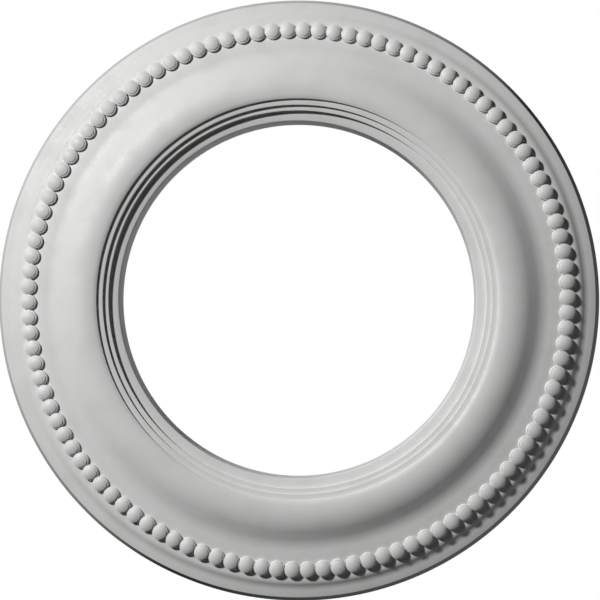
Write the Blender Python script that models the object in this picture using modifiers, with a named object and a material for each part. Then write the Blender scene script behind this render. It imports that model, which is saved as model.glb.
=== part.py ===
"""Ceiling rose: a round moulded ring with a string of beads, a bold ogee and an open middle.

Metres, +Z up. The flat back lies against the ceiling at Z = 0 and the moulded face looks down.
The ring is moulded in one piece, so it is one solid, turned round the Z axis.
"""

import math

import bmesh
import bpy
from mathutils import Matrix

# Overall sizes
BORE_RADIUS = 0.0997
PROJECTION = 0.0318

# The wall of the bore leans out a little, and a gently sloping land runs from its rounded edge
BORE_DRAFT = 0.0006
BORE_ROUND = 0.0008
LAND_WIDTH = 0.0056
LAND_ANGLE = 5.0

# The upright risers and level treads that climb from the land to the crown
TALL_RISER = 0.0027
TALL_TREAD = 0.0031
SHORT_RISER = 0.0017
SHORT_TREAD = 0.0032
CROWN_RISER = 0.0014

# The crown: its inner roll, and the round brow that starts the ogee
CROWN_ROLL = 0.0067
CROWN_ROLL_ANGLE = 24.0
CROWN_EDGE_ANGLE = 5.0
BROW_RADIUS = 0.0226

# The ogee's straight middle and its hollow foot, which runs out to the bed
OGEE_ANGLE = 37.0
OGEE_STRAIGHT = 0.0048
HOLLOW_RADIUS = 0.0176
HOLLOW_END_ANGLE = 10.5
HOLLOW_RUN_OUT = 0.0036

# The sloping bed and its beads. Each bead is a flattened ball that leans less than the bed,
# and the string starts by this share of a bead's pitch before the X axis.
BED_ANGLE = 17.0
BED_MARGIN_INNER = 0.0018
BED_MARGIN_OUTER = 0.0011
BEAD_HALF_WIDTH = 0.0049
BEAD_HALF_LENGTH = 0.00430
BEAD_GAP = 0.00005
BEAD_RISE = 0.0034
BEAD_LEAN = 14.5
BEAD_START = 0.146

# The rim: a small ogee down from the bed, a sloping flange and the leaning outer wall
RIM_START_ANGLE = 11.0
RIM_BROW_RADIUS = 0.0064
RIM_OGEE_ANGLE = 44.0
RIM_HOLLOW_RADIUS = 0.0115
FLANGE_ANGLE = 23.0
FLANGE_LENGTH = 0.0039
RIM_ROUND = 0.0005
RIM_DRAFT = 0.0025

# How finely the solid is faceted
RING_SEGMENTS = 84
BEAD_SIDES = 8
BEAD_RINGS = 4

WHITE_PRIMER = (0.86, 0.86, 0.85, 1.0)
PRIMER_ROUGHNESS = 0.55


class Moulding:
    """Draws a section outward from the bore, as (radius, height) points joined by flats and arcs."""

    def __init__(self, radius):
        self.points = [(radius, 0.0)]

    def step(self, run, rise):
        radius, height = self.points[-1]
        self.points.append((radius + run, height + rise))

    def slope(self, length, angle):
        self.step(length * math.cos(math.radians(angle)), length * math.sin(math.radians(angle)))

    def arc(self, arc_radius, start_angle, end_angle, pieces):
        """A round member. It is convex where the angle falls and hollow where it rises."""
        radius, height = self.points[-1]
        start = math.radians(start_angle)
        sign = 1.0 if end_angle > start_angle else -1.0
        for piece in range(1, pieces + 1):
            angle = math.radians(start_angle + (end_angle - start_angle) * piece / pieces)
            run = sign * arc_radius * (math.sin(angle) - math.sin(start))
            rise = sign * arc_radius * (math.cos(start) - math.cos(angle))
            self.points.append((radius + run, height + rise))


def draw_steps(section):
    """From the bore's edge up the small steps to the crown."""
    section.arc(BORE_ROUND, 88.0, LAND_ANGLE, 1)
    section.slope(LAND_WIDTH, LAND_ANGLE)
    section.step(0.0, TALL_RISER)
    section.step(TALL_TREAD, 0.0)
    section.step(0.0, SHORT_RISER)
    section.step(SHORT_TREAD, 0.0)
    section.step(0.0, CROWN_RISER)


def draw_ogee(section):
    """Over the crown and down the large ogee to the bed."""
    section.arc(CROWN_ROLL, CROWN_ROLL_ANGLE, CROWN_EDGE_ANGLE, 2)
    section.arc(BROW_RADIUS, CROWN_EDGE_ANGLE, -OGEE_ANGLE, 4)
    section.slope(OGEE_STRAIGHT, -OGEE_ANGLE)
    section.arc(HOLLOW_RADIUS, -OGEE_ANGLE, -HOLLOW_END_ANGLE, 2)
    section.slope(HOLLOW_RUN_OUT, -HOLLOW_END_ANGLE)


def draw_rim(section):
    """From the bed down a small ogee and the flange to the top of the outer wall."""
    section.arc(RIM_BROW_RADIUS, -RIM_START_ANGLE, -RIM_OGEE_ANGLE, 2)
    section.arc(RIM_HOLLOW_RADIUS, -RIM_OGEE_ANGLE, -FLANGE_ANGLE, 1)
    section.slope(FLANGE_LENGTH, -FLANGE_ANGLE)
    section.arc(RIM_ROUND, -FLANGE_ANGLE, -85.0, 1)


def draw_section():
    """The whole section as points from the bore to the outer edge, and the bed's inner radius and height."""
    section = Moulding(BORE_RADIUS + BORE_DRAFT)
    draw_steps(section)
    draw_ogee(section)
    bed_radius, bed_height = section.points[-1]
    section.slope(BED_MARGIN_INNER + 2 * BEAD_HALF_WIDTH + BED_MARGIN_OUTER, -BED_ANGLE)
    draw_rim(section)
    # The crown stands at the full projection, and both walls run back to the ceiling.
    lift = PROJECTION - max(height for radius, height in section.points)
    face = [(radius, height + lift) for radius, height in section.points]
    outer_radius = face[-1][0] + RIM_DRAFT
    points = [(BORE_RADIUS, 0.0), *face, (outer_radius, 0.0)]
    return points, bed_radius, bed_height + lift


def new_object(name, mesh, collection, material):
    obj = bpy.data.objects.new(name, mesh)
    obj.data.materials.append(material)
    collection.objects.link(obj)
    return obj


def primed_white():
    material = bpy.data.materials.new("primed_white")
    material.use_nodes = True
    shader = material.node_tree.nodes["Principled BSDF"]
    shader.inputs["Base Color"].default_value = WHITE_PRIMER
    shader.inputs["Roughness"].default_value = PRIMER_ROUGHNESS
    shader.inputs["Metallic"].default_value = 0.0
    return material


def turned_ring(points, collection, material):
    """The closed section, turned a full round by a Screw modifier. Heights run down from the ceiling."""
    mesh = bpy.data.meshes.new("ring_section")
    bm = bmesh.new()
    # The list is turned round so that the outer side runs from the ceiling down.
    corners = [bm.verts.new((radius, 0.0, -height)) for radius, height in reversed(points)]
    for first, second in zip(corners, corners[1:] + corners[:1]):
        bm.edges.new((first, second))
    bm.to_mesh(mesh)
    bm.free()
    ring = new_object("ceiling_rose_ring", mesh, collection, material)
    screw = ring.modifiers.new("turned round the axis", "SCREW")
    screw.axis = "Z"
    screw.angle = math.tau
    screw.steps = RING_SEGMENTS
    screw.render_steps = RING_SEGMENTS
    screw.use_merge_vertices = True
    screw.merge_threshold = 0.00001
    return ring


def bead_string(bed_radius, bed_height, collection, material):
    """A full round of beads, each sunk by half into the bed and just clear of the next."""
    bed_slope = math.radians(BED_ANGLE)
    reach = BED_MARGIN_INNER + BEAD_HALF_WIDTH
    circle_radius = bed_radius + reach * math.cos(bed_slope)
    bead_height = bed_height - reach * math.sin(bed_slope)
    count = round(math.tau * circle_radius / (2 * BEAD_HALF_LENGTH + BEAD_GAP))
    mesh = bpy.data.meshes.new("bead_string")
    bm = bmesh.new()
    place = Matrix.Translation((circle_radius, 0.0, -bead_height))
    lean = Matrix.Rotation(-math.radians(BEAD_LEAN), 4, "Y")
    stretch = Matrix.Diagonal((BEAD_HALF_WIDTH, BEAD_HALF_LENGTH, BEAD_RISE, 1.0))
    half_side = Matrix.Rotation(math.pi / BEAD_SIDES, 4, "Z")
    for bead in range(count):
        turn = Matrix.Rotation(math.tau * (bead - BEAD_START) / count, 4, "Z")
        bmesh.ops.create_uvsphere(
            bm,
            u_segments=BEAD_SIDES,
            v_segments=BEAD_RINGS,
            radius=1.0,
            matrix=turn @ place @ lean @ stretch @ half_side,
        )
    bm.to_mesh(mesh)
    bm.free()
    beads = new_object("bead_string", mesh, collection, material)
    beads.hide_render = True
    beads.display_type = "WIRE"
    return beads


def main():
    for obj in list(bpy.data.objects):
        bpy.data.objects.remove(obj)
    pieces = bpy.data.collections.new("ceiling_rose")
    guides = bpy.data.collections.new("ceiling_rose_cutters")
    bpy.context.scene.collection.children.link(pieces)
    bpy.context.scene.collection.children.link(guides)
    material = primed_white()
    points, bed_radius, bed_height = draw_section()
    ring = turned_ring(points, pieces, material)
    beads = bead_string(bed_radius, bed_height, guides, material)
    union = ring.modifiers.new("beads moulded on", "BOOLEAN")
    union.operation = "UNION"
    union.solver = "EXACT"
    union.object = beads


main()
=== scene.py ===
import math

import bmesh
import bpy
from mathutils import Matrix, Vector


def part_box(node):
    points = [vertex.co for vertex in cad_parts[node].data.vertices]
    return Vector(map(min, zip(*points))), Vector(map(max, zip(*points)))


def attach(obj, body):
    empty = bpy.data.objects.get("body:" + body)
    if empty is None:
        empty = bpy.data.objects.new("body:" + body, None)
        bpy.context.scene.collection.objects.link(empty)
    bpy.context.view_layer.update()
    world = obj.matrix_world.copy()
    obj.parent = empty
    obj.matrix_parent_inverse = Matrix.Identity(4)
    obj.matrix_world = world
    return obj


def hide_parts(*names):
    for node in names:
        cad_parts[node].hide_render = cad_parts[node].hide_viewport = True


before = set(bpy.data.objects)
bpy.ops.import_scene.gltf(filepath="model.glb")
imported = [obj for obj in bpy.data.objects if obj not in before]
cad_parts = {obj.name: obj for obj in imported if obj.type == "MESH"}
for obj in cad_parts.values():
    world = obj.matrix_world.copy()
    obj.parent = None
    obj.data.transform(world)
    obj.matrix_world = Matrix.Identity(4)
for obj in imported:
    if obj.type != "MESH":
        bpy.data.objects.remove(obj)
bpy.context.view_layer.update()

# The node that the fine moulding stands for, and its reach in metres
NODE = "ceiling_rose_ring"
low_corner, high_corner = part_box(NODE)
OUTER_RADIUS = high_corner.x
PROJECTION = -low_corner.z
BORE_RADIUS = 0.0997

# The wall of the bore and the land at its mouth
BORE_DRAFT = 0.0006
BORE_ROUND = 0.0008
BORE_EDGE_ANGLE = 88.0
LAND_WIDTH = 0.0051
LAND_ANGLE = 5.0

# The small steps from the land up to the crown
TALL_RISER = 0.0023
TALL_TREAD = 0.0031
SHORT_RISER = 0.0017
SHORT_TREAD = 0.0035
RISER_ANGLE = 90.0
ARRIS_ROUND = 0.0001

# The crown and the ogee that falls from it
CROWN_RISER = 0.0014
CROWN_ROLL = 0.0074
CROWN_ROLL_ANGLE = 24.0
CROWN_EDGE_ANGLE = 5.0
BROW_RADIUS = 0.0226
OGEE_ANGLE = 37.0
OGEE_STRAIGHT = 0.0048
HOLLOW_RADIUS = 0.0176
HOLLOW_END_ANGLE = 10.5
HOLLOW_RUN_OUT = 0.0036

# The sloping bed and its beads. Each has a low cap with a small step and a collar round it
BED_ANGLE = 17.0
BED_MARGIN_INNER = 0.0018
BED_MARGIN_OUTER = 0.0011
BEAD_COUNT = 110
BEAD_HALF_WIDTH = 0.0049
BEAD_HALF_LENGTH = 0.0045
BEAD_RISE = 0.0034
BEAD_CAP_RADIUS = 0.0085
BEAD_CAP_ANGLE = 27.0
BEAD_STEP = 0.0005
BEAD_STEP_ANGLE = 75.0
BEAD_COLLAR = 0.00045
BEAD_COLLAR_ANGLE = 8.0
BEAD_ROUND = 0.00035
BEAD_SIDE_ANGLE = 84.0
BEAD_SINK = 0.0015
BEAD_LEAN = 14.5

# How far round from the X axis the first bead sits, as a share of a bead's pitch
BEAD_START = -0.146

# The rim
RIM_START_ANGLE = 11.0
RIM_BROW_RADIUS = 0.0064
RIM_OGEE_ANGLE = 44.0
RIM_HOLLOW_RADIUS = 0.0095
FLANGE_ANGLE = 19.0
RIM_DRAFT = 0.0025
RIM_ROUND = 0.0005
RIM_EDGE_ANGLE = 85.0

# How finely the moulding is drawn
STEPS_PER_HALF_BEAD = 2
ARC_STEP = 4.0
BED_PIECES = 8
BEAD_SIDES = 36
CAP_PIECES = 6
ROUND_PIECES = 4

# Edges that turn more than this stay crisp, and points closer than this are welded
CRISP_ANGLE = 28.0
WELD_DISTANCE = 0.000002

# The primer's tones, and the sizes of its clouds, orange peel and fine grain
FULL_COAT = (0.755, 0.753, 0.748, 1.0)
THIN_COAT = (0.715, 0.710, 0.698, 1.0)
CLOUD_SIZE = 0.016
CLOUD_DETAIL = 4.0
PEEL_SIZE = 0.0016
PEEL_DETAIL = 2.0
PEEL_HEIGHT = 0.0000022
GRAIN_SIZE = 0.00045
GRAIN_DETAIL = 1.0
GRAIN_HEIGHT = 0.0000007

# The coat thins where the cloud noise passes from the first value to the second
THIN_FROM = 0.42
THIN_TO = 0.72

# The primer's roughness, and the values of clouds and peel together that it goes with
PRIMER_SMOOTHEST = 0.5
PRIMER_ROUGHEST = 0.62
SMOOTHEST_AT = 0.8
ROUGHEST_AT = 1.2

# The bare foam of the flat back. Paler swirls mix in up to their share as the noise rises
BARE_FOAM = (0.62, 0.53, 0.38, 1.0)
PALE_SWIRL = (0.80, 0.74, 0.62, 1.0)
SWIRL_SHARE = 0.3
SWIRL_SIZE = 0.03
SWIRL_DETAIL = 5.0
SWIRL_FROM = 0.3
SWIRL_TO = 0.7
FOAM_SMOOTHEST = 0.55
FOAM_ROUGHEST = 0.78

# Its pores. Radius and edge are shares of the spacing, and a cell under the limit has no pore. Their
# tone is painted shade, darker inside each pore's dip
PORE_PAINTED_SHADE = (0.36, 0.28, 0.17, 1.0)
PORE_SPACING = 0.0022
PORE_DEPTH = 0.00012
PORE_LIMIT = 0.55
PORE_RADIUS = 0.32
PORE_EDGE = 0.12

# How far primer reaches round the edges, and how squarely a face looks up to count as the back
OVERSPRAY_START = 0.003
OVERSPRAY_END = 0.009
OVERSPRAY_WANDER = 0.006
OVERSPRAY_PATCH = 0.014
OVERSPRAY_DETAIL = 4.0
UPWARD_FROM = 0.8
UPWARD_TO = 0.95

# Lights: directions are azimuth and elevation in degrees as seen in the photograph
KEY_DIRECTION = (142.0, 40.0)
KEY_STRENGTH = 3.17
KEY_SOFTNESS = 5.0
FILL_DIRECTION = (322.0, 5.0)
FILL_STRENGTH = 0.32
FILL_SOFTNESS = 30.0
BACK_DIRECTION = (0.0, -90.0)
BACK_STRENGTH = 2.2
BACK_SOFTNESS = 8.0
ROOM_STRENGTH = 0.006
OPENING_LIGHT_WIDTH = 0.18
OPENING_LIGHT_HEIGHT = 0.08
OPENING_LIGHT_POWER = 0.06

# Stage
FLOOR_WIDTH = 60.0
FLOOR_DEPTH = 3.4
FLOOR_TONE = (0.82, 0.82, 0.81, 1.0)
FLOOR_ROUGHNESS = 0.9

# Photograph
PHOTO_WIDTH = 600
PHOTO_SCALE = 0.0005686
CAMERA_DISTANCE = 2.0
CAMERA_FROM_RIGHT = 1.52
CAMERA_FROM_BELOW = 0.87
AIM_RIGHT = 1.43
AIM_UP = 0.22
SENSOR_WIDTH = 36.0


class Moulding:
    """Draws a section outward from the bore, as (radius, height) points joined by flats and arcs."""

    def __init__(self, radius, height):
        self.points = [(radius, height)]

    def step(self, run, rise):
        radius, height = self.points[-1]
        self.points.append((radius + run, height + rise))

    def slope(self, length, angle):
        turn = math.radians(angle)
        self.step(length * math.cos(turn), length * math.sin(turn))

    def arc(self, arc_radius, start_angle, end_angle, pieces=None):
        """A round member. It is convex where the angle falls and hollow where it rises."""
        radius, height = self.points[-1]
        start = math.radians(start_angle)
        sign = 1.0 if end_angle > start_angle else -1.0
        pieces = pieces or max(2, math.ceil(abs(end_angle - start_angle) / ARC_STEP))
        for piece in range(1, pieces + 1):
            angle = math.radians(start_angle + (end_angle - start_angle) * piece / pieces)
            run = sign * arc_radius * (math.sin(angle) - math.sin(start))
            rise = sign * arc_radius * (math.cos(start) - math.cos(angle))
            self.points.append((radius + run, height + rise))


def draw_riser(section, rise):
    """An upright riser with a crisp arris at its top, which ends level."""
    section.slope(rise / math.sin(math.radians(RISER_ANGLE)) - ARRIS_ROUND, RISER_ANGLE)
    section.arc(ARRIS_ROUND, RISER_ANGLE, 0.0, ROUND_PIECES)


def draw_section():
    """The moulded face from the bore to the rim, and the point where the beads' bed starts."""
    section = Moulding(BORE_RADIUS + BORE_DRAFT, 0.0)
    section.arc(BORE_ROUND, BORE_EDGE_ANGLE, LAND_ANGLE, ROUND_PIECES)
    section.slope(LAND_WIDTH, LAND_ANGLE)
    draw_riser(section, TALL_RISER)
    section.step(TALL_TREAD - ARRIS_ROUND, 0.0)
    draw_riser(section, SHORT_RISER)
    section.step(SHORT_TREAD - ARRIS_ROUND, 0.0)
    section.slope(CROWN_RISER, RISER_ANGLE)
    section.arc(CROWN_ROLL, CROWN_ROLL_ANGLE, CROWN_EDGE_ANGLE)
    section.arc(BROW_RADIUS, CROWN_EDGE_ANGLE, -OGEE_ANGLE)
    section.slope(OGEE_STRAIGHT, -OGEE_ANGLE)
    section.arc(HOLLOW_RADIUS, -OGEE_ANGLE, -HOLLOW_END_ANGLE)
    section.slope(HOLLOW_RUN_OUT, -HOLLOW_END_ANGLE)
    bed_start = section.points[-1]
    bed_width = BED_MARGIN_INNER + 2 * BEAD_HALF_WIDTH + BED_MARGIN_OUTER
    for piece in range(BED_PIECES):
        section.slope(bed_width / BED_PIECES, -BED_ANGLE)
    section.arc(RIM_BROW_RADIUS, -RIM_START_ANGLE, -RIM_OGEE_ANGLE)
    section.arc(RIM_HOLLOW_RADIUS, -RIM_OGEE_ANGLE, -FLANGE_ANGLE)
    # The flange runs on to where the rim's round ends.
    round_run = RIM_ROUND * (1.0 - math.sin(math.radians(FLANGE_ANGLE)))
    flange_run = OUTER_RADIUS - RIM_DRAFT - round_run - section.points[-1][0]
    section.slope(flange_run / math.cos(math.radians(FLANGE_ANGLE)), -FLANGE_ANGLE)
    section.arc(RIM_ROUND, -FLANGE_ANGLE, -RIM_EDGE_ANGLE, ROUND_PIECES)
    lift = PROJECTION - max(height for radius, height in section.points)
    face = [(radius, height + lift) for radius, height in section.points]
    return face, (bed_start[0], bed_start[1] + lift)


def half_turn_of_bead():
    """Half of the angle that one bead's share of the ring takes up."""
    return math.pi / BEAD_COUNT


def wedge(face):
    """A closed wedge of the ring: one bead's share, and one step more to each side."""
    bm = bmesh.new()
    outline = [(BORE_RADIUS, 0.0), *face, (OUTER_RADIUS, 0.0)]
    steps = 2 * (STEPS_PER_HALF_BEAD + 1)
    step_angle = half_turn_of_bead() / STEPS_PER_HALF_BEAD
    start = Matrix.Rotation(-step_angle * steps / 2, 4, "Z")
    corners = [bm.verts.new(start @ Vector((radius, 0.0, -height))) for radius, height in outline]
    cap = bm.faces.new(corners)
    bmesh.ops.spin(
        bm, geom=[cap, *cap.verts, *cap.edges], cent=(0, 0, 0), axis=(0, 0, 1),
        angle=step_angle * steps, steps=steps, use_duplicate=False,
    )
    bmesh.ops.recalc_face_normals(bm, faces=bm.faces)
    return bm


def draw_bead():
    """From the middle of the low cap, over the small step and the collar, down the bead's side."""
    section = Moulding(0.0, BEAD_RISE)
    section.arc(BEAD_CAP_RADIUS, 0.0, -BEAD_CAP_ANGLE, CAP_PIECES)
    section.slope(BEAD_STEP, -BEAD_STEP_ANGLE)
    section.slope(BEAD_COLLAR, -BEAD_COLLAR_ANGLE)
    section.arc(BEAD_ROUND, -BEAD_COLLAR_ANGLE, -BEAD_SIDE_ANGLE, ROUND_PIECES)
    return [*section.points, (BEAD_HALF_WIDTH, -BEAD_SINK), (0.0, -BEAD_SINK)]


def bead(bed_start):
    """One bead, sunk into the bed. It leans less than the bed and is a little wider than long."""
    slope = math.radians(BED_ANGLE)
    reach = BED_MARGIN_INNER + BEAD_HALF_WIDTH
    radius = bed_start[0] + reach * math.cos(slope)
    height = bed_start[1] - reach * math.sin(slope)
    bm = bmesh.new()
    # Heights are measured down from the ceiling, so a rise goes towards -Z.
    corners = [bm.verts.new((across, 0.0, -up)) for across, up in draw_bead()]
    edges = [bm.edges.new(pair) for pair in zip(corners, corners[1:])]
    bmesh.ops.spin(
        bm, geom=[*corners, *edges], cent=(0, 0, 0), axis=(0, 0, 1),
        angle=math.tau, steps=BEAD_SIDES, use_merge=True, use_duplicate=False,
    )
    bmesh.ops.remove_doubles(bm, verts=bm.verts, dist=WELD_DISTANCE)
    bmesh.ops.recalc_face_normals(bm, faces=bm.faces)
    shorten = Matrix.Diagonal((1.0, BEAD_HALF_LENGTH / BEAD_HALF_WIDTH, 1.0, 1.0))
    lean = Matrix.Rotation(-math.radians(BEAD_LEAN), 4, "Y")
    place = Matrix.Translation((radius, 0.0, -height))
    bmesh.ops.transform(bm, matrix=place @ lean @ shorten, verts=bm.verts)
    return bm


def as_object(name, bm):
    mesh = bpy.data.meshes.new(name)
    bm.to_mesh(mesh)
    bm.free()
    obj = bpy.data.objects.new(name, mesh)
    bpy.context.scene.collection.objects.link(obj)
    return obj


def one_bead_of_ring(face, bed_start):
    """The wedge with its bead moulded on, cut to exactly one bead's share of the ring."""
    ring_part = as_object("wedge", wedge(face))
    bead_part = as_object("bead", bead(bed_start))
    union = ring_part.modifiers.new("bead moulded on", "BOOLEAN")
    union.operation = "UNION"
    union.solver = "EXACT"
    union.object = bead_part
    graph = bpy.context.evaluated_depsgraph_get()
    bm = bmesh.new()
    bm.from_mesh(ring_part.evaluated_get(graph).to_mesh())
    bpy.data.objects.remove(ring_part)
    bpy.data.objects.remove(bead_part)
    half = half_turn_of_bead()
    middle = Vector((0.0, 1.0, 0.0))
    far_side = Vector((-math.sin(half), math.cos(half), 0.0))
    bmesh.ops.bisect_plane(
        bm, geom=[*bm.verts, *bm.edges, *bm.faces], dist=WELD_DISTANCE / 2, plane_co=(0, 0, 0),
        plane_no=middle, clear_inner=True,
    )
    bmesh.ops.bisect_plane(
        bm, geom=[*bm.verts, *bm.edges, *bm.faces], dist=WELD_DISTANCE / 2, plane_co=(0, 0, 0),
        plane_no=far_side, clear_outer=True,
    )
    bmesh.ops.mirror(
        bm, geom=[*bm.verts, *bm.edges, *bm.faces], matrix=Matrix.Identity(4),
        merge_dist=WELD_DISTANCE / 2, axis="Y",
    )
    bmesh.ops.recalc_face_normals(bm, faces=bm.faces)
    return bm


def moulded_ring(material):
    """One bead's share, repeated all the way round and welded into one closed ring."""
    face, bed_start = draw_section()
    bm = one_bead_of_ring(face, bed_start)
    pitch = math.tau / BEAD_COUNT
    start = Matrix.Rotation(BEAD_START * pitch, 3, "Z")
    bmesh.ops.rotate(bm, cent=(0, 0, 0), matrix=start, verts=bm.verts)
    bmesh.ops.spin(
        bm, geom=[*bm.verts, *bm.edges, *bm.faces], cent=(0, 0, 0), axis=(0, 0, 1),
        angle=math.tau - pitch, steps=BEAD_COUNT - 1, use_duplicate=True,
    )
    bmesh.ops.remove_doubles(bm, verts=bm.verts, dist=WELD_DISTANCE)
    bmesh.ops.recalc_face_normals(bm, faces=bm.faces)
    ring = as_object("moulded_ring", bm)
    ring.data.shade_smooth()
    ring.data.set_sharp_from_angle(angle=math.radians(CRISP_ANGLE))
    ring.data.materials.append(material)
    return ring


def new_group(name, inputs, outputs):
    """An empty node group, with sockets given as name: (type, default) and name: type."""
    tree = bpy.data.node_groups.new(name, "ShaderNodeTree")
    for label, (kind, default) in inputs.items():
        socket = tree.interface.new_socket(label, in_out="INPUT", socket_type=kind)
        if default is not None:
            socket.default_value = default
    for label, kind in outputs.items():
        tree.interface.new_socket(label, in_out="OUTPUT", socket_type=kind)
    return tree, tree.nodes.new("NodeGroupInput").outputs, tree.nodes.new("NodeGroupOutput").inputs


def feed(tree, socket, value):
    """Sets a socket to a number, or links it to another node's output."""
    if isinstance(value, bpy.types.NodeSocket):
        tree.links.new(value, socket)
    else:
        socket.default_value = value


def calc(tree, operation, first, second):
    node = tree.nodes.new("ShaderNodeMath")
    node.operation = operation
    feed(tree, node.inputs[0], first)
    feed(tree, node.inputs[1], second)
    return node.outputs[0]


def noise(tree, vector, size, detail):
    """Noise whose features are about as wide as size, in metres."""
    node = tree.nodes.new("ShaderNodeTexNoise")
    feed(tree, node.inputs["Vector"], vector)
    feed(tree, node.inputs["Scale"], calc(tree, "DIVIDE", 1.0, size))
    feed(tree, node.inputs["Detail"], detail)
    return node.outputs["Fac"]


def ramp(tree, value, low, high, at_low, at_high):
    """Carries a value from at_low to at_high, smoothly, as it goes from low to high."""
    node = tree.nodes.new("ShaderNodeMapRange")
    node.interpolation_type = "SMOOTHSTEP"
    for label, number in (("Value", value), ("From Min", low), ("From Max", high)):
        feed(tree, node.inputs[label], number)
    feed(tree, node.inputs["To Min"], at_low)
    feed(tree, node.inputs["To Max"], at_high)
    return node.outputs["Result"]


def mix_colour(tree, factor, first, second):
    """Mixes two colours. The node's sockets share their names, so they are picked by number."""
    node = tree.nodes.new("ShaderNodeMix")
    node.data_type = "RGBA"
    feed(tree, node.inputs[0], factor)
    feed(tree, node.inputs[6], first)
    feed(tree, node.inputs[7], second)
    return node.outputs[2]


def mix_value(tree, factor, first, second):
    """Mixes two numbers, by the same node's sockets for numbers."""
    node = tree.nodes.new("ShaderNodeMix")
    feed(tree, node.inputs[0], factor)
    feed(tree, node.inputs[2], first)
    feed(tree, node.inputs[3], second)
    return node.outputs[0]


def use_group(tree, group, **values):
    """Places a node group. A socket's name is given with underscores for its spaces."""
    node = tree.nodes.new("ShaderNodeGroup")
    node.node_tree = group
    for label, value in values.items():
        feed(tree, node.inputs[label.replace("_", " ")], value)
    return node.outputs


def sprayed_primer():
    """Matte primer: faint clouds where the coat is thinner, orange peel and a fine dry grain."""
    tree, given, result = new_group(
        "sprayed primer",
        {
            "Position": ("NodeSocketVector", None),
            "Full Coat": ("NodeSocketColor", FULL_COAT),
            "Thin Coat": ("NodeSocketColor", THIN_COAT),
            "Cloud Size": ("NodeSocketFloat", CLOUD_SIZE),
            "Peel Size": ("NodeSocketFloat", PEEL_SIZE),
            "Peel Height": ("NodeSocketFloat", PEEL_HEIGHT),
            "Grain Size": ("NodeSocketFloat", GRAIN_SIZE),
            "Grain Height": ("NodeSocketFloat", GRAIN_HEIGHT),
        },
        {"Color": "NodeSocketColor", "Roughness": "NodeSocketFloat", "Height": "NodeSocketFloat"},
    )
    clouds = noise(tree, given["Position"], given["Cloud Size"], CLOUD_DETAIL)
    peel = noise(tree, given["Position"], given["Peel Size"], PEEL_DETAIL)
    grain = noise(tree, given["Position"], given["Grain Size"], GRAIN_DETAIL)
    thin = ramp(tree, clouds, THIN_FROM, THIN_TO, 0.0, 1.0)
    feed(tree, result["Color"], mix_colour(tree, thin, given["Full Coat"], given["Thin Coat"]))
    uneven = calc(tree, "ADD", clouds, peel)
    roughness = ramp(tree, uneven, SMOOTHEST_AT, ROUGHEST_AT, PRIMER_SMOOTHEST, PRIMER_ROUGHEST)
    feed(tree, result["Roughness"], roughness)
    peel_rise = calc(tree, "MULTIPLY", peel, given["Peel Height"])
    grain_rise = calc(tree, "MULTIPLY", grain, given["Grain Height"])
    feed(tree, result["Height"], calc(tree, "ADD", peel_rise, grain_rise))
    return tree


def bare_foam():
    """The skin of the foam as it leaves the mould: cream, with pale swirls, and small open pores
    painted darker as painted shade inside them.
    """
    tree, given, result = new_group(
        "bare foam",
        {
            "Position": ("NodeSocketVector", None),
            "Skin": ("NodeSocketColor", BARE_FOAM),
            "Swirl Tone": ("NodeSocketColor", PALE_SWIRL),
            "Pore Painted Shade": ("NodeSocketColor", PORE_PAINTED_SHADE),
            "Swirl Size": ("NodeSocketFloat", SWIRL_SIZE),
            "Pore Spacing": ("NodeSocketFloat", PORE_SPACING),
            "Pore Depth": ("NodeSocketFloat", PORE_DEPTH),
        },
        {"Color": "NodeSocketColor", "Roughness": "NodeSocketFloat", "Height": "NodeSocketFloat"},
    )
    swirl = noise(tree, given["Position"], given["Swirl Size"], SWIRL_DETAIL)
    cells = tree.nodes.new("ShaderNodeTexVoronoi")
    feed(tree, cells.inputs["Vector"], given["Position"])
    feed(tree, cells.inputs["Scale"], calc(tree, "DIVIDE", 1.0, given["Pore Spacing"]))
    # Only some cells hold a pore, and each pore has a size of its own.
    split = tree.nodes.new("ShaderNodeSeparateColor")
    feed(tree, split.inputs["Color"], cells.outputs["Color"])
    pore_radius = ramp(tree, split.outputs["Red"], PORE_LIMIT, 1.0, 0.0, PORE_RADIUS)
    depth_in = calc(tree, "SUBTRACT", pore_radius, cells.outputs["Distance"])
    pore = ramp(tree, depth_in, 0.0, PORE_EDGE, 0.0, 1.0)
    pale = ramp(tree, swirl, SWIRL_FROM, SWIRL_TO, 0.0, SWIRL_SHARE)
    swirled = mix_colour(tree, pale, given["Skin"], given["Swirl Tone"])
    # The pores are painted darker here: painted shade inside each pore's dip.
    feed(tree, result["Color"], mix_colour(tree, pore, swirled, given["Pore Painted Shade"]))
    roughness = ramp(tree, swirl, SWIRL_FROM, SWIRL_TO, FOAM_SMOOTHEST, FOAM_ROUGHEST)
    feed(tree, result["Roughness"], roughness)
    relief = calc(tree, "SUBTRACT", swirl, pore)
    feed(tree, result["Height"], calc(tree, "MULTIPLY", relief, given["Pore Depth"]))
    return tree


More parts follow.
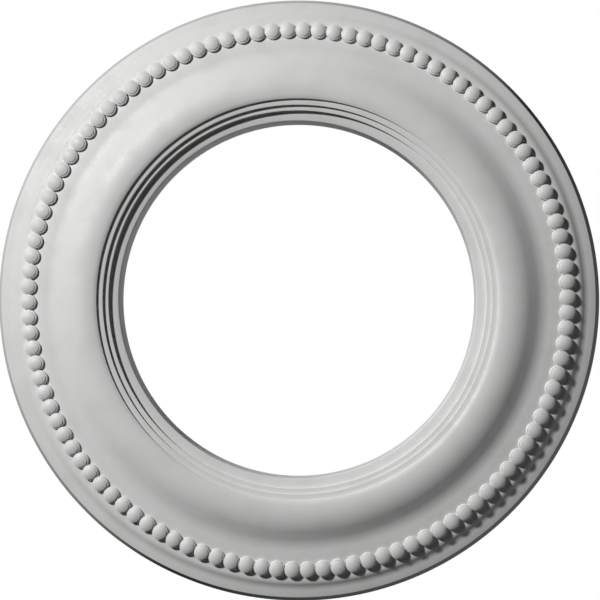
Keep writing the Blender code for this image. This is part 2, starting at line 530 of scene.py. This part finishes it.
def overspray():
    """How bare the surface is: 1 in the middle of the flat back, 0 on the face and at the edges."""
    tree, given, result = new_group(
        "overspray",
        {
            "Position": ("NodeSocketVector", None),
            "Normal": ("NodeSocketVector", None),
            "Inner Radius": ("NodeSocketFloat", BORE_RADIUS),
            "Outer Radius": ("NodeSocketFloat", OUTER_RADIUS),
            "Start": ("NodeSocketFloat", OVERSPRAY_START),
            "End": ("NodeSocketFloat", OVERSPRAY_END),
        },
        {"Bare": "NodeSocketFloat"},
    )
    flat = tree.nodes.new("ShaderNodeVectorMath")
    flat.operation = "MULTIPLY"
    feed(tree, flat.inputs[0], given["Position"])
    feed(tree, flat.inputs[1], (1.0, 1.0, 0.0))
    length = tree.nodes.new("ShaderNodeVectorMath")
    length.operation = "LENGTH"
    feed(tree, length.inputs[0], flat.outputs[0])
    radius = length.outputs["Value"]
    from_inside = calc(tree, "SUBTRACT", radius, given["Inner Radius"])
    from_outside = calc(tree, "SUBTRACT", given["Outer Radius"], radius)
    from_edge = calc(tree, "MINIMUM", from_inside, from_outside)
    patches = noise(tree, given["Position"], OVERSPRAY_PATCH, OVERSPRAY_DETAIL)
    # The noise is centred, so that the edge of the primer wanders as far in as out.
    wander = calc(tree, "MULTIPLY", calc(tree, "SUBTRACT", patches, 0.5), OVERSPRAY_WANDER)
    reach = ramp(tree, calc(tree, "ADD", from_edge, wander), given["Start"], given["End"], 0.0, 1.0)
    facing = tree.nodes.new("ShaderNodeSeparateXYZ")
    feed(tree, facing.inputs[0], given["Normal"])
    upward = ramp(tree, facing.outputs["Z"], UPWARD_FROM, UPWARD_TO, 0.0, 1.0)
    feed(tree, result["Bare"], calc(tree, "MULTIPLY", reach, upward))
    return tree


def primed_white():
    """White primer on the moulded face and round both edges, over foam that is bare at the back."""
    material = bpy.data.materials.new("primed_white")
    material.use_nodes = True
    tree = material.node_tree
    shader = tree.nodes["Principled BSDF"]
    place = tree.nodes.new("ShaderNodeTexCoord")
    position = place.outputs["Object"]
    primer = use_group(tree, sprayed_primer(), Position=position)
    foam = use_group(tree, bare_foam(), Position=position)
    bare = use_group(tree, overspray(), Position=position, Normal=place.outputs["Normal"])["Bare"]
    feed(tree, shader.inputs["Base Color"], mix_colour(tree, bare, primer["Color"], foam["Color"]))
    roughness = mix_value(tree, bare, primer["Roughness"], foam["Roughness"])
    feed(tree, shader.inputs["Roughness"], roughness)
    # The heights are in metres already, so the bump takes them as they are.
    bump = tree.nodes.new("ShaderNodeBump")
    feed(tree, bump.inputs["Distance"], 1.0)
    feed(tree, bump.inputs["Height"], mix_value(tree, bare, primer["Height"], foam["Height"]))
    feed(tree, shader.inputs["Normal"], bump.outputs["Normal"])
    return material


def toward(azimuth, elevation):
    """A light's direction: azimuth from the photograph's right, elevation off its plane."""
    turn = math.radians(azimuth)
    tilt = math.radians(elevation)
    along = math.cos(tilt)
    return Vector((math.cos(turn) * along, -math.sin(turn) * along, -math.sin(tilt)))


def sun(name, direction, strength, softness):
    light = bpy.data.lights.new(name, "SUN")
    light.energy = strength
    light.angle = math.radians(softness)
    lamp = bpy.data.objects.new(name, light)
    lamp.rotation_mode = "QUATERNION"
    lamp.rotation_quaternion = direction.to_track_quat("Z", "Y")
    bpy.context.scene.collection.objects.link(lamp)
    return lamp


def opening_light():
    """Soft light that comes down through the opening on to its wall, and isn't seen itself."""
    light = bpy.data.lights.new("opening", "AREA")
    light.shape = "DISK"
    light.size = OPENING_LIGHT_WIDTH
    light.energy = OPENING_LIGHT_POWER
    lamp = bpy.data.objects.new("opening", light)
    lamp.location = (0.0, 0.0, OPENING_LIGHT_HEIGHT)
    lamp.visible_camera = False
    lamp.visible_glossy = False
    bpy.context.scene.collection.objects.link(lamp)


def pale_floor():
    """A floor far below, behind the camera. It neither shades the ring nor lights it."""
    bm = bmesh.new()
    bmesh.ops.create_grid(bm, x_segments=1, y_segments=1, size=FLOOR_WIDTH / 2)
    bmesh.ops.translate(bm, vec=(0.0, 0.0, -FLOOR_DEPTH), verts=bm.verts)
    floor = as_object("floor", bm)
    material = bpy.data.materials.new("floor")
    material.use_nodes = True
    shader = material.node_tree.nodes["Principled BSDF"]
    shader.inputs["Base Color"].default_value = FLOOR_TONE
    shader.inputs["Roughness"].default_value = FLOOR_ROUGHNESS
    floor.data.materials.append(material)
    floor.visible_shadow = False
    floor.visible_diffuse = False
    floor.visible_glossy = False


def studio():
    """A dim room that the camera sees as white, and its lamps."""
    scene = bpy.context.scene
    scene.view_settings.view_transform = "Standard"
    world = bpy.data.worlds.new("studio")
    scene.world = world
    world.use_nodes = True
    nodes, links = world.node_tree.nodes, world.node_tree.links
    nodes.clear()
    path = nodes.new("ShaderNodeLightPath")
    soft = nodes.new("ShaderNodeBackground")
    soft.inputs["Color"].default_value = (1, 1, 1, 1)
    soft.inputs["Strength"].default_value = ROOM_STRENGTH
    white = nodes.new("ShaderNodeBackground")
    white.inputs["Color"].default_value = (1, 1, 1, 1)
    mix = nodes.new("ShaderNodeMixShader")
    out = nodes.new("ShaderNodeOutputWorld")
    links.new(path.outputs["Is Camera Ray"], mix.inputs["Fac"])
    links.new(soft.outputs[0], mix.inputs[1])
    links.new(white.outputs[0], mix.inputs[2])
    links.new(mix.outputs[0], out.inputs[0])
    sun("key", toward(*KEY_DIRECTION), KEY_STRENGTH, KEY_SOFTNESS)
    sun("fill", toward(*FILL_DIRECTION), FILL_STRENGTH, FILL_SOFTNESS)
    back = sun("back", toward(*BACK_DIRECTION), BACK_STRENGTH, BACK_SOFTNESS)
    back.visible_glossy = False
    opening_light()


def camera():
    """The photograph's camera: below the ring, a little to one side, looking up at its middle."""
    data = bpy.data.cameras.new("photo_camera")
    data.sensor_width = SENSOR_WIDTH
    data.lens = SENSOR_WIDTH * CAMERA_DISTANCE / (PHOTO_WIDTH * PHOTO_SCALE)
    cam = bpy.data.objects.new("photo_camera", data)
    bpy.context.scene.collection.objects.link(cam)
    right = math.tan(math.radians(CAMERA_FROM_RIGHT))
    below = math.tan(math.radians(CAMERA_FROM_BELOW))
    back = Vector((right, below, -1.0)).normalized()
    up = Vector((0.0, -1.0, 0.0))
    side = up.cross(back).normalized()
    up = back.cross(side)
    matrix = Matrix((side, up, back)).transposed().to_4x4()
    target = Vector((AIM_RIGHT * PHOTO_SCALE, -AIM_UP * PHOTO_SCALE, 0.0))
    matrix.translation = target + back * CAMERA_DISTANCE
    cam.matrix_world = matrix
    bpy.context.scene.camera = cam


material = primed_white()
ring = moulded_ring(material)
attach(ring, "root")
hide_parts(NODE)
pale_floor()
studio()
camera()
